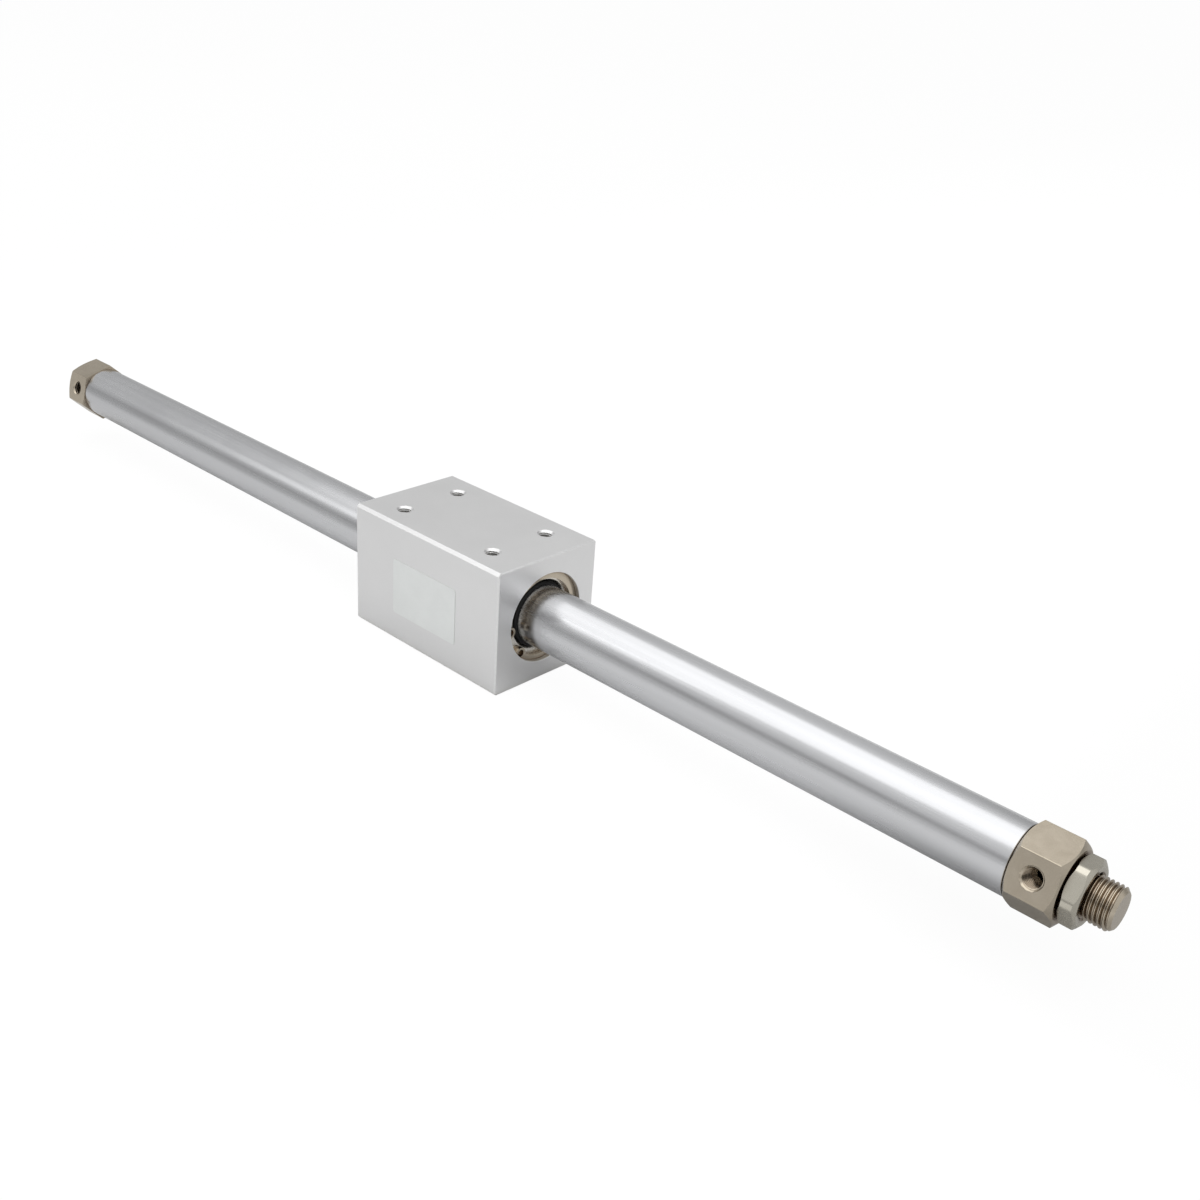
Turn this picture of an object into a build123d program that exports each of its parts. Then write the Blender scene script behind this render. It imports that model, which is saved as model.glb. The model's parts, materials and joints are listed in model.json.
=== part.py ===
"""Rodless pneumatic cylinder with a magnetically coupled carriage, bore 15 mm, stroke 300 mm.

A piston with ring magnets runs inside a thin stainless tube. A square carriage with matching ring
magnets rides on the outside of the tube and follows it. A hexagon cover closes each end of the
tube, and the front cover carries a threaded nose with its mounting nut.

Millimetres. +X runs along the tube towards the threaded nose and +Z is up, out of the carriage's
mounting face. The origin is on the tube's axis, midway along the overall length.
"""

import os
from math import cos, radians, sin, tan

from build123d import *

# Stroke and tube
stroke = 300.0
rest_offset = 14.8  # the carriage stands this far past mid-stroke, towards the front cover
end_clearance = 2.0  # air left between the carriage and a cover at the end of the stroke
bore_diameter = 15.0
tube_wall = 0.8
tube_end_chamfer = 0.15

# Carriage block
block_length = 57.0
block_width = 35.0
block_height = 35.0
long_edge_chamfer = 0.8
end_edge_chamfer = 0.3
bore_mouth_chamfer = 0.1
mount_hole_spacing_x = 35.0
mount_hole_spacing_y = 19.0
mount_hole_diameter = 3.3  # tapping size of an M4 thread
mount_hole_mouth = 4.2
mount_hole_depth = 6.0
countersink_angle = 90.0

# End covers
cover_flat_margin = 0.4  # the hexagon's width over flats is this much more than the tube
cover_length = 11.0
hexagon_chamfer_inset = 0.4  # how far the turned end circle lies inside the flats
hexagon_chamfer_angle = 35.0
cover_corner_cut = 0.3  # turned off the corners, which leaves a narrow round land on each
front_cover_turn = 20.3  # degrees that the port's face is tilted up from the -Y side
rear_cover_turn = 13.0
port_diameter = 4.2  # tapping size of an M5 thread
port_mouth = 5.0
port_depth = 6.0
port_from_face = 5.5
cross_hole_diameter = 2.6
air_passage_diameter = 4.0
gasket_width = 1.5
gasket_thickness = 1.3
gasket_from_shoulder = 2.2

# Threaded nose and its nut
nose_diameter = 10.0
nose_length = 10.0
nose_chamfer = 1.0
nose_thread_depth = 0.325  # from the crests of the M10x1 thread to the line where it meets the nut's
nut_across_flats = 14.0
nut_thickness = 4.0
nut_chamfer_inset = 0.45
nut_corner_cut = 0.4
nut_turn = 34.5

# Bumpers
bumper_thickness = 1.5
bumper_edge_gap = 0.6
bumper_hub_wall = 1.5
bumper_hub_length = 1.5
bumper_clearance = 0.2  # air left between piston and bumper at the end of the stroke

# Magnet stacks, alike in the piston and the carriage
magnet_count = 4
yoke_thickness = 2.5
piston_bore_gap = 0.3
carriage_tube_gap = 0.4
carriage_magnet_width = 2.9
sleeve_wall = 0.8

# Piston
shaft_diameter = 3.5
shaft_end_inset = 0.2
shaft_end_chamfer = 0.3
piston_land = 0.6
piston_wear_ring_width = 2.0
piston_wear_ring_thickness = 0.7
piston_seal_width = 1.8
piston_seal_groove_depth = 1.5
piston_seal_edge = 0.3  # width of the lip where it wipes the bore
piston_nose_land = 1.0
piston_nut_across_flats = 6.0
piston_nut_thickness = 2.4
piston_nut_recess_gap = 0.2

# Carriage ends, counted outwards from the magnet stack
spacer_thickness = 1.0
holder_land = 0.6
carriage_wear_ring_width = 3.0
carriage_wear_ring_thickness = 1.3
lube_retainer_width = 1.8
lube_retainer_thickness = 2.0
scraper_width = 2.0
scraper_thickness = 2.5
scraper_body_gap = 0.8  # radial, behind the lip
scraper_edge = 0.55  # width of the lip where it wipes the tube
scraper_lip_root = 1.1  # how deep in the body the lip starts
scraper_lip_reach = 1.8  # how far the lip stands out of the body, through the seat washer
scraper_lip_tip = 0.5  # thickness of the lip at its end
scraper_lip_gap = 0.15  # radial, inside the seat washer
seat_washer_thickness = 1.0
seat_washer_gap = 1.0  # radial, round the tube
seat_washer_chamfer = 0.5  # on the outer side only
retaining_ring_thickness = 1.2
retaining_ring_depth = 1.3  # from the end face of the block to the ring
retaining_ring_width = 2.7  # opposite the gap
retaining_ring_tip_width = 1.7  # beside the lugs
groove_depth = 0.6
lug_radius = 1.6
lug_hole_diameter = 2.0
lug_angle = 21.0  # from the middle of the gap to a lug hole
front_ring_gap_direction = 209.0  # degrees from +Y towards +Z
rear_ring_gap_direction = 150.0

# Fits
running_clearance = 0.05  # radial, for what slides on or in the tube
assembly_clearance = 0.05  # radial, for pieces that are fitted together and stay so
side_clearance = 0.05  # axial, for rings in their grooves
ring_split = 0.6  # width of the cut through a wear ring
piston_split_direction = 90.0
carriage_split_direction = 270.0

hexagon_sides = 6
corner_angle = 180 / hexagon_sides  # from the middle of a flat to a corner

# Sizes that follow from the ones above
bore_radius = bore_diameter / 2
tube_radius = bore_radius + tube_wall
tube_length = stroke + block_length + 2 * end_clearance
cover_across_flats = 2 * tube_radius + cover_flat_margin

tube_middle_x = -nose_length / 2
carriage_x = tube_middle_x + rest_offset
front_end_x = tube_middle_x + tube_length / 2
rear_end_x = tube_middle_x - tube_length / 2
nose_shoulder_x = front_end_x + cover_length
nose_meshed_radius = nose_diameter / 2 - nose_thread_depth

holder_length = (
    carriage_wear_ring_width
    + holder_land
    + lube_retainer_width
    + holder_land
    + scraper_width
)
carriage_end_length = (
    spacer_thickness
    + holder_length
    + seat_washer_thickness
    + retaining_ring_thickness
    + retaining_ring_depth
)
yoke_count = magnet_count + 1
stack_length = block_length - 2 * carriage_end_length
magnet_thickness = (stack_length - yoke_count * yoke_thickness) / magnet_count

piston_radius = bore_radius - piston_bore_gap
piston_end_length = (
    2 * piston_land + piston_wear_ring_width + piston_seal_width + piston_nose_land
)
piston_half_length = stack_length / 2 + piston_end_length
spigot_radius = bore_radius - assembly_clearance
spigot_length = (
    (tube_length - stroke) / 2 - piston_half_length - bumper_clearance - bumper_thickness
)

carriage_inner_radius = tube_radius + carriage_tube_gap
carriage_magnet_radius = carriage_inner_radius + carriage_magnet_width
sleeve_radius = carriage_magnet_radius + assembly_clearance + sleeve_wall
block_bore_radius = sleeve_radius + assembly_clearance
groove_radius = block_bore_radius + groove_depth


def save(piece, name):
    """Label a finished piece and write it to its own file."""
    piece.part.label = name
    export_step(piece.part, f"parts/{name}.step")


def section(outline):
    """A closed outline of (x, radius) points in the plane through the tube's axis."""
    with BuildSketch(Plane.XZ) as half:
        with BuildLine():
            Polyline(*outline, close=True)
        make_face()
    return half.sketch


def hexagon(start_x, across_flats, face_direction):
    """A hexagon across the tube's axis, with one flat facing the given direction."""
    with BuildSketch(Plane.YZ.offset(start_x)) as face:
        RegularPolygon(
            across_flats / 2,
            hexagon_sides,
            major_radius=False,
            rotation=face_direction - corner_angle,
        )
    return face.sketch


def turned_envelope(low_x, high_x, across_flats, inset, corner_cut):
    """The outline that a lathe leaves on a hexagon bar: corners cut round, both ends coned down."""
    face_radius = across_flats / 2 - inset
    outer_radius = across_flats / 2 / cos(radians(corner_angle)) - corner_cut
    run = (outer_radius - face_radius) * tan(radians(hexagon_chamfer_angle))
    return [
        (low_x, 0),
        (low_x, face_radius),
        (low_x + run, outer_radius),
        (high_x - run, outer_radius),
        (high_x, face_radius),
        (high_x, 0),
    ]


def direction(degrees):
    """The unit vector at an angle from +Y towards +Z."""
    return (0, cos(radians(degrees)), sin(radians(degrees)))


def outward(x_middle, side, distances):
    """Places along the axis at distances from the middle, towards +X (side 1) or -X (side -1)."""
    return [x_middle + side * distance for distance in distances]


def ring(start_x, length, inner_radius, outer_radius):
    """A flat-sided ring about the tube's axis, from start_x towards +X."""
    with BuildPart() as piece:
        with BuildSketch(Plane.YZ.offset(start_x)):
            Circle(outer_radius)
            Circle(inner_radius, mode=Mode.SUBTRACT)
        extrude(amount=length)
    return piece


def split_ring(start_x, length, inner_radius, outer_radius, cut_direction):
    """A ring with a straight cut through one side, so that it can be sprung into its groove."""
    cut = Plane((start_x, 0, 0), x_dir=direction(cut_direction), z_dir=(1, 0, 0))
    middle_radius = (inner_radius + outer_radius) / 2
    wall = outer_radius - inner_radius
    with BuildPart() as piece:
        with BuildSketch(Plane.YZ.offset(start_x)):
            Circle(outer_radius)
            Circle(inner_radius, mode=Mode.SUBTRACT)
        extrude(amount=length)
        with BuildSketch(cut):
            with Locations((middle_radius, 0)):
                Rectangle(2 * wall, ring_split)
        extrude(amount=length, mode=Mode.SUBTRACT)
    return piece


os.makedirs("parts", exist_ok=True)

# Cylinder tube, drawn thin, with its outer end edges broken
with BuildPart() as cylinder_tube:
    with BuildSketch(Plane.YZ.offset(rear_end_x)):
        Circle(tube_radius)
        Circle(bore_radius, mode=Mode.SUBTRACT)
    extrude(amount=tube_length)
    outer_rims = (
        cylinder_tube.edges()
        .filter_by(GeomType.CIRCLE)
        .filter_by(lambda rim: abs(rim.radius - tube_radius) < tube_wall / 2)
    )
    chamfer(outer_rims, tube_end_chamfer)
save(cylinder_tube, "cylinder_tube")


# End covers: a hexagon head on a spigot that closes the tube, with a side port that opens into
# the air passage along the axis

def end_cover(side, face_direction):
    """A cover without its nose, at the front (side 1) or the rear (side -1) of the tube."""
    tube_end_x = tube_middle_x + side * tube_length / 2
    outer_face_x = tube_end_x + side * cover_length
    spigot_tip_x = tube_end_x - side * spigot_length
    port_x = outer_face_x - side * port_from_face
    passage_end_x = port_x + side * cross_hole_diameter / 2
    hub_radius = air_passage_diameter / 2 + bumper_hub_wall + assembly_clearance
    hub_seat_x = spigot_tip_x + side * bumper_hub_length
    groove_start_x = tube_end_x - side * gasket_from_shoulder
    groove_end_x = groove_start_x - side * (gasket_width + 2 * side_clearance)
    groove_floor = bore_radius - gasket_thickness - assembly_clearance
    port_plane = Plane((port_x, 0, 0), x_dir=(1, 0, 0), z_dir=direction(face_direction))
    spigot = [
        (tube_end_x, 0),
        (tube_end_x, spigot_radius),
        (groove_start_x, spigot_radius),
        (groove_start_x, groove_floor),
        (groove_end_x, groove_floor),
        (groove_end_x, spigot_radius),
        (spigot_tip_x, spigot_radius),
        (spigot_tip_x, hub_radius),
        (hub_seat_x, hub_radius),
        (hub_seat_x, 0),
    ]
    passage = [
        (hub_seat_x, 0),
        (hub_seat_x, air_passage_diameter / 2),
        (passage_end_x, air_passage_diameter / 2),
        (passage_end_x, 0),
    ]
    low_x = min(tube_end_x, outer_face_x)
    high_x = max(tube_end_x, outer_face_x)
    envelope = turned_envelope(
        low_x, high_x, cover_across_flats, hexagon_chamfer_inset, cover_corner_cut
    )
    with BuildPart() as cover:
        extrude(hexagon(low_x, cover_across_flats, face_direction), amount=cover_length)
        revolve(section(envelope), axis=Axis.X, mode=Mode.INTERSECT)
        revolve(section(spigot), axis=Axis.X)
        revolve(section(passage), axis=Axis.X, mode=Mode.SUBTRACT)
        with Locations(port_plane.offset(cover_across_flats / 2)):
            CounterSinkHole(port_diameter / 2, port_mouth / 2, port_depth, countersink_angle)
            Hole(cross_hole_diameter / 2, cover_across_flats / 2)
    return cover


front_face_direction = 180 - front_cover_turn
rear_face_direction = 180 - rear_cover_turn

# The nose is as thick as its thread's crests where it stands free. Under the nut both pieces end
# at the line where their threads meet.
with BuildPart() as front_cover:
    add(end_cover(1, front_face_direction).part)
    with BuildSketch(Plane.YZ.offset(nose_shoulder_x)):
        Circle(nose_meshed_radius)
    extrude(amount=nut_thickness)
    with BuildSketch(Plane.YZ.offset(nose_shoulder_x + nut_thickness)):
        Circle(nose_diameter / 2)
    extrude(amount=nose_length - nut_thickness)
    nose_rim = front_cover.edges().filter_by(GeomType.CIRCLE).sort_by(Axis.X)[-1]
    chamfer(nose_rim, nose_chamfer)
save(front_cover, "front_cover")

rear_cover = end_cover(-1, rear_face_direction)
save(rear_cover, "rear_cover")

# Mounting nut, run up to the front cover's shoulder
nut_envelope = turned_envelope(
    nose_shoulder_x,
    nose_shoulder_x + nut_thickness,
    nut_across_flats,
    nut_chamfer_inset,
    nut_corner_cut,
)
with BuildPart() as mounting_nut:
    extrude(hexagon(nose_shoulder_x, nut_across_flats, 180 - nut_turn), amount=nut_thickness)
    revolve(section(nut_envelope), axis=Axis.X, mode=Mode.INTERSECT)
    with BuildSketch(Plane.YZ.offset(nose_shoulder_x)):
        Circle(nose_meshed_radius + assembly_clearance)
    extrude(amount=nut_thickness, mode=Mode.SUBTRACT)
save(mounting_nut, "mounting_nut")

# Gaskets in the spigots' grooves, and bumpers with a hub pushed into the spigots' tips
for side, place in [(1, "front"), (-1, "rear")]:
    tube_end_x = tube_middle_x + side * tube_length / 2
    gasket_near_x = tube_end_x - side * (gasket_from_shoulder + side_clearance)
    gasket_far_x = gasket_near_x - side * gasket_width
    gasket = ring(
        min(gasket_near_x, gasket_far_x),
        gasket_width,
        bore_radius - gasket_thickness,
        spigot_radius,
    )
    save(gasket, f"{place}_tube_gasket")

    spigot_tip_x = tube_end_x - side * spigot_length
    bumper_face_x = spigot_tip_x - side * bumper_thickness
    hub_end_x = spigot_tip_x + side * bumper_hub_length
    hole_radius = air_passage_diameter / 2
    bumper_outline = [
        (bumper_face_x, hole_radius),
        (bumper_face_x, bore_radius - bumper_edge_gap),
        (spigot_tip_x, bore_radius - bumper_edge_gap),
        (spigot_tip_x, hole_radius + bumper_hub_wall),
        (hub_end_x, hole_radius + bumper_hub_wall),
        (hub_end_x, hole_radius),
    ]
    with BuildPart() as bumper:
        revolve(section(bumper_outline), axis=Axis.X)
    save(bumper, f"{place}_bumper")

# Magnet stacks: yoke, magnet, yoke ... yoke, in step inside and outside the tube
stack_start_x = carriage_x - stack_length / 2
stack_pitch = yoke_thickness + magnet_thickness
shaft_radius = shaft_diameter / 2
stack_hole_radius = shaft_radius + assembly_clearance

for index in range(yoke_count):
    yoke_x = stack_start_x + index * stack_pitch
    piston_yoke = ring(yoke_x, yoke_thickness, stack_hole_radius, piston_radius)
    save(piston_yoke, f"piston_yoke_{index + 1}")
    carriage_yoke = ring(
        yoke_x, yoke_thickness, carriage_inner_radius, carriage_magnet_radius
    )
    save(carriage_yoke, f"carriage_yoke_{index + 1}")

for index in range(magnet_count):
    magnet_x = stack_start_x + yoke_thickness + index * stack_pitch
    piston_magnet = ring(magnet_x, magnet_thickness, stack_hole_radius, piston_radius)
    save(piston_magnet, f"piston_magnet_{index + 1}")
    carriage_magnet = ring(
        magnet_x, magnet_thickness, carriage_inner_radius, carriage_magnet_radius
    )
    save(carriage_magnet, f"carriage_magnet_{index + 1}")

# Piston shaft, which ends just inside the pistons' outer faces
with BuildPart() as piston_shaft:
    shaft_half_length = piston_half_length - shaft_end_inset
    with BuildSketch(Plane.YZ.offset(carriage_x - shaft_half_length)):
        Circle(shaft_radius)
    extrude(amount=2 * shaft_half_length)
    chamfer(piston_shaft.edges().filter_by(GeomType.CIRCLE), shaft_end_chamfer)
save(piston_shaft, "piston_shaft")

piston_nut_corner = piston_nut_across_flats / 2 / cos(radians(corner_angle))
nut_recess_radius = piston_nut_corner + piston_nut_recess_gap
nut_recess_depth = piston_nut_thickness + piston_nut_recess_gap
wear_groove_floor = bore_radius - running_clearance - piston_wear_ring_thickness
seal_groove_floor = piston_radius - piston_seal_groove_depth

for side, place in [(1, "front"), (-1, "rear")]:
    # Piston: a land, the wear ring's groove, a land, the seal's groove and the nose
    inner_face = stack_length / 2
    wear_start = inner_face + piston_land
    wear_end = wear_start + piston_wear_ring_width
    seal_start = wear_end + piston_land
    seal_end = seal_start + piston_seal_width
    recess_floor = piston_half_length - nut_recess_depth
    [inner_x, wear_start_x, wear_end_x, seal_start_x, seal_end_x, recess_x, outer_x] = outward(
        carriage_x,
        side,
        [inner_face, wear_start, wear_end, seal_start, seal_end, recess_floor, piston_half_length],
    )
    piston_outline = [
        (inner_x, stack_hole_radius),
        (inner_x, piston_radius),
        (wear_start_x, piston_radius),
        (wear_start_x, wear_groove_floor - assembly_clearance),
        (wear_end_x, wear_groove_floor - assembly_clearance),
        (wear_end_x, piston_radius),
        (seal_start_x, piston_radius),
        (seal_start_x, seal_groove_floor),
        (seal_end_x, seal_groove_floor),
        (seal_end_x, piston_radius),
        (outer_x, piston_radius),
        (outer_x, nut_recess_radius),
        (recess_x, nut_recess_radius),
        (recess_x, stack_hole_radius),
    ]
    with BuildPart() as piston:
        revolve(section(piston_outline), axis=Axis.X)
    save(piston, f"{place}_piston")

    wear_ring = split_ring(
        min(wear_start_x, wear_end_x) + side_clearance,
        piston_wear_ring_width - 2 * side_clearance,
        wear_groove_floor,
        bore_radius - running_clearance,
        piston_split_direction,
    )
    save(wear_ring, f"{place}_piston_wear_ring")

    # Seal: a base in the groove and a lip that leans outwards to the bore
    seal_base = seal_groove_floor + assembly_clearance
    seal_lip_radius = bore_radius - running_clearance
    lip_waist = (seal_base + seal_lip_radius) / 2
    near_seal_x = seal_start_x + side * side_clearance
    far_seal_x = seal_end_x - side * side_clearance
    middle_seal_x = (near_seal_x + far_seal_x) / 2
    seal_outline = [
        (near_seal_x, seal_base),
        (near_seal_x, lip_waist),
        (middle_seal_x, lip_waist),
        (far_seal_x - side * piston_seal_edge, seal_lip_radius),
        (far_seal_x, seal_lip_radius),
        (far_seal_x, seal_base),
    ]
    with BuildPart() as piston_seal:
        revolve(section(seal_outline), axis=Axis.X)
    save(piston_seal, f"{place}_piston_seal")

    nut_low_x = min(recess_x, recess_x + side * piston_nut_thickness)
    with BuildPart() as piston_nut:
        with BuildSketch(Plane.YZ.offset(nut_low_x)):
            RegularPolygon(piston_nut_across_flats / 2, hexagon_sides, major_radius=False)
            Circle(stack_hole_radius, mode=Mode.SUBTRACT)
        extrude(amount=piston_nut_thickness)
    save(piston_nut, f"{place}_piston_nut")

# Carriage block: square, bored through, with ring grooves near both ends and four tapped holes
with BuildPart() as carriage_block:
    with BuildSketch(Plane.YZ.offset(carriage_x - block_length / 2)):
        Rectangle(block_width, block_height)
    extrude(amount=block_length)
    long_edges = carriage_block.edges().filter_by(Axis.X)
    chamfer(long_edges, long_edge_chamfer)
    end_faces = carriage_block.faces().filter_by(Axis.X)
    chamfer(end_faces.edges(), end_edge_chamfer)
    with BuildSketch(Plane.YZ.offset(carriage_x - block_length / 2)):
        Circle(block_bore_radius)
    extrude(amount=block_length, mode=Mode.SUBTRACT)
    mouth_rims = carriage_block.edges().filter_by(GeomType.CIRCLE)
    chamfer(mouth_rims, bore_mouth_chamfer)
    for side in (1, -1):
        ring_outer_x = carriage_x + side * (block_length / 2 - retaining_ring_depth)
        ring_inner_x = ring_outer_x - side * retaining_ring_thickness
        groove_start_x = min(ring_outer_x, ring_inner_x) - side_clearance
        with BuildSketch(Plane.YZ.offset(groove_start_x)):
            Circle(groove_radius)
        extrude(amount=retaining_ring_thickness + 2 * side_clearance, mode=Mode.SUBTRACT)
    with Locations(Plane((carriage_x, 0, block_height / 2))):
        with GridLocations(mount_hole_spacing_x, mount_hole_spacing_y, 2, 2):
            CounterSinkHole(
                mount_hole_diameter / 2, mount_hole_mouth / 2, mount_hole_depth, countersink_angle
            )
save(carriage_block, "carriage_block")

# Magnet sleeve: the liner that holds the outer magnets and their spacers in line
sleeve_length = stack_length + 2 * spacer_thickness
magnet_sleeve = ring(
    carriage_x - sleeve_length / 2,
    sleeve_length,
    carriage_magnet_radius + assembly_clearance,
    sleeve_radius,
)
save(magnet_sleeve, "magnet_sleeve")

running_radius = tube_radius + running_clearance
wear_seat_radius = running_radius + carriage_wear_ring_thickness + assembly_clearance
retainer_seat_radius = running_radius + lube_retainer_thickness + assembly_clearance
scraper_seat_radius = running_radius + scraper_thickness + assembly_clearance
washer_inner_radius = tube_radius + seat_washer_gap


def retaining_ring(start_x, gap_direction):
    """An internal ring that is wider opposite its gap, with a drilled lug on each side of it."""
    outer_radius = groove_radius - assembly_clearance
    wide_reach = outer_radius - retaining_ring_width
    tip_reach = outer_radius - retaining_ring_tip_width
    inner_radius = (wide_reach + tip_reach) / 2
    shift = (tip_reach - wide_reach) / 2
    lug_centre = outer_radius - lug_radius
    gap_half_width = lug_centre * sin(radians(lug_angle)) - lug_radius
    ring_plane = Plane(
        (start_x, 0, 0), x_dir=direction(gap_direction), z_dir=(1, 0, 0)
    )
    lugs = [
        (lug_centre * cos(radians(lug_angle)), hand * lug_centre * sin(radians(lug_angle)))
        for hand in (1, -1)
    ]
    with BuildPart() as piece:
        with BuildSketch(ring_plane):
            Circle(outer_radius)
            with Locations((shift, 0)):
                Circle(inner_radius, mode=Mode.SUBTRACT)
            with Locations(*lugs):
                Circle(lug_radius)
            with Locations((outer_radius, 0)):
                Rectangle(outer_radius, 2 * gap_half_width, mode=Mode.SUBTRACT)
            with Locations(*lugs):
                Circle(lug_hole_diameter / 2, mode=Mode.SUBTRACT)
        extrude(amount=retaining_ring_thickness)
    return piece


for side, place in [(1, "front"), (-1, "rear")]:
    # Stations from the magnet stack out to the end face of the block
    spacer_start = stack_length / 2
    wear_start = spacer_start + spacer_thickness
    wear_end = wear_start + carriage_wear_ring_width
    retainer_start = wear_end + holder_land
    retainer_end = retainer_start + lube_retainer_width
    scraper_start = retainer_end + holder_land
    scraper_end = scraper_start + scraper_width
    washer_end = scraper_end + seat_washer_thickness
    ring_end = washer_end + retaining_ring_thickness
    [
        spacer_x,
        wear_start_x,
        wear_end_x,
        retainer_start_x,
        retainer_end_x,
        scraper_start_x,
        scraper_end_x,
        washer_end_x,
        ring_end_x,
    ] = outward(
        carriage_x,
        side,
        [
            spacer_start,
            wear_start,
            wear_end,
            retainer_start,
            retainer_end,
            scraper_start,
            scraper_end,
            washer_end,
            ring_end,
        ],
    )

    spacer = ring(
        min(spacer_x, wear_start_x),
        spacer_thickness,
        carriage_inner_radius,
        carriage_magnet_radius,
    )
    save(spacer, f"{place}_magnet_spacer")

    # Bearing holder: seats for the wear ring, the lube retainer and the scraper
    holder_outline = [
        (wear_start_x, wear_seat_radius),
        (wear_end_x, wear_seat_radius),
        (wear_end_x, carriage_inner_radius),
        (retainer_start_x, carriage_inner_radius),
        (retainer_start_x, retainer_seat_radius),
        (retainer_end_x, retainer_seat_radius),
        (retainer_end_x, carriage_inner_radius),
        (scraper_start_x, carriage_inner_radius),
        (scraper_start_x, scraper_seat_radius),
        (scraper_end_x, scraper_seat_radius),
        (scraper_end_x, sleeve_radius),
        (wear_start_x, sleeve_radius),
    ]
    with BuildPart() as bearing_holder:
        revolve(section(holder_outline), axis=Axis.X)
    save(bearing_holder, f"{place}_bearing_holder")

    carriage_wear_ring = split_ring(
        min(wear_start_x, wear_end_x) + side_clearance,
        carriage_wear_ring_width - 2 * side_clearance,
        running_radius,
        wear_seat_radius - assembly_clearance,
        carriage_split_direction,
    )
    save(carriage_wear_ring, f"{place}_carriage_wear_ring")

    lube_retainer = ring(
        min(retainer_start_x, retainer_end_x) + side_clearance,
        lube_retainer_width - 2 * side_clearance,
        running_radius,
        retainer_seat_radius - assembly_clearance,
    )
    save(lube_retainer, f"{place}_lube_retainer")

    # Scraper: a flat ring with a lip that leans out through the seat washer and wipes the tube
    scraper_inner_x = scraper_start_x + side * side_clearance
    lip_root_x = scraper_end_x - side * scraper_lip_root
    lip_end_x = scraper_end_x + side * scraper_lip_reach
    lip_outer_radius = washer_inner_radius - scraper_lip_gap
    scraper_outline = [
        (scraper_inner_x, running_radius + scraper_body_gap),
        (lip_root_x, running_radius + scraper_body_gap),
        (lip_end_x - side * scraper_edge, running_radius),
        (lip_end_x, running_radius),
        (lip_end_x, running_radius + scraper_lip_tip),
        (washer_end_x, lip_outer_radius),
        (scraper_end_x, lip_outer_radius),
        (scraper_end_x, scraper_seat_radius - assembly_clearance),
        (scraper_inner_x, scraper_seat_radius - assembly_clearance),
    ]
    with BuildPart() as scraper:
        revolve(section(scraper_outline), axis=Axis.X)
    save(scraper, f"{place}_scraper")

    with BuildPart() as seat_washer:
        with BuildSketch(Plane.YZ.offset(min(scraper_end_x, washer_end_x))):
            Circle(sleeve_radius)
            Circle(washer_inner_radius, mode=Mode.SUBTRACT)
        extrude(amount=seat_washer_thickness)
        inner_rims = seat_washer.edges().filter_by(GeomType.CIRCLE).sort_by(SortBy.RADIUS)[:2]
        outer_side_rim = inner_rims.sort_by(Axis.X)[-1 if side > 0 else 0]
        chamfer(outer_side_rim, seat_washer_chamfer)
    save(seat_washer, f"{place}_seat_washer")

    gap_direction = front_ring_gap_direction if side > 0 else rear_ring_gap_direction
    snap_ring = retaining_ring(min(washer_end_x, ring_end_x), gap_direction)
    save(snap_ring, f"{place}_retaining_ring")
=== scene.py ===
"""Looks of the rodless cylinder: its threads, finishes, studio light and camera.

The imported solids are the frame. All is in metres, in the frame of the part: +X runs along the tube
towards the threaded nose, +Z is up, and the origin is on the tube's axis.
"""

import json
from math import acos, cos, pi, radians, sin, tan

import bmesh
import bpy
from mathutils import Matrix, Vector


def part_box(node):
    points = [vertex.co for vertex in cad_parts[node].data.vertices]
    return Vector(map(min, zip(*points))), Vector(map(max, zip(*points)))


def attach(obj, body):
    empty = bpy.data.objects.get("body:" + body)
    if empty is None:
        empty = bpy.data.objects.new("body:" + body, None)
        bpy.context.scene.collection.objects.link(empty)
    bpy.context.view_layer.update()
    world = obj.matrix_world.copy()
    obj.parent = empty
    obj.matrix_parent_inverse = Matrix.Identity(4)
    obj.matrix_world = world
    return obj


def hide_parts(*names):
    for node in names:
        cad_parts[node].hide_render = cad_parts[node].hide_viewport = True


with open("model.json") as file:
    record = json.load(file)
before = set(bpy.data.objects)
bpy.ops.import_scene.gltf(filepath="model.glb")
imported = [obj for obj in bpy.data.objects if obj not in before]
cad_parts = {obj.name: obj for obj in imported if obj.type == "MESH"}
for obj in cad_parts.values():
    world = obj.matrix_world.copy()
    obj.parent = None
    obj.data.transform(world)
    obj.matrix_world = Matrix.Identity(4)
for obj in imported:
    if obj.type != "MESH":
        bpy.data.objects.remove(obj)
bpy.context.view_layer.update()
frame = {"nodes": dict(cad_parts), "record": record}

MM = 0.001
MICRON = 0.001 * MM
ALONG = (1, 0, 0)
UP = (0, 0, 1)
WHITE = (1, 1, 1, 1)

# Sizes read from the frame
tube_low, tube_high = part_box("cylinder_tube")
cover_low, cover_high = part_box("front_cover")
rear_low, rear_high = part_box("rear_cover")
nut_low, nut_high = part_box("mounting_nut")
block_low, block_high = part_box("carriage_block")
tube_radius = tube_high.z
block_middle = (block_low + block_high) / 2
floor_z = block_low.z

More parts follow.
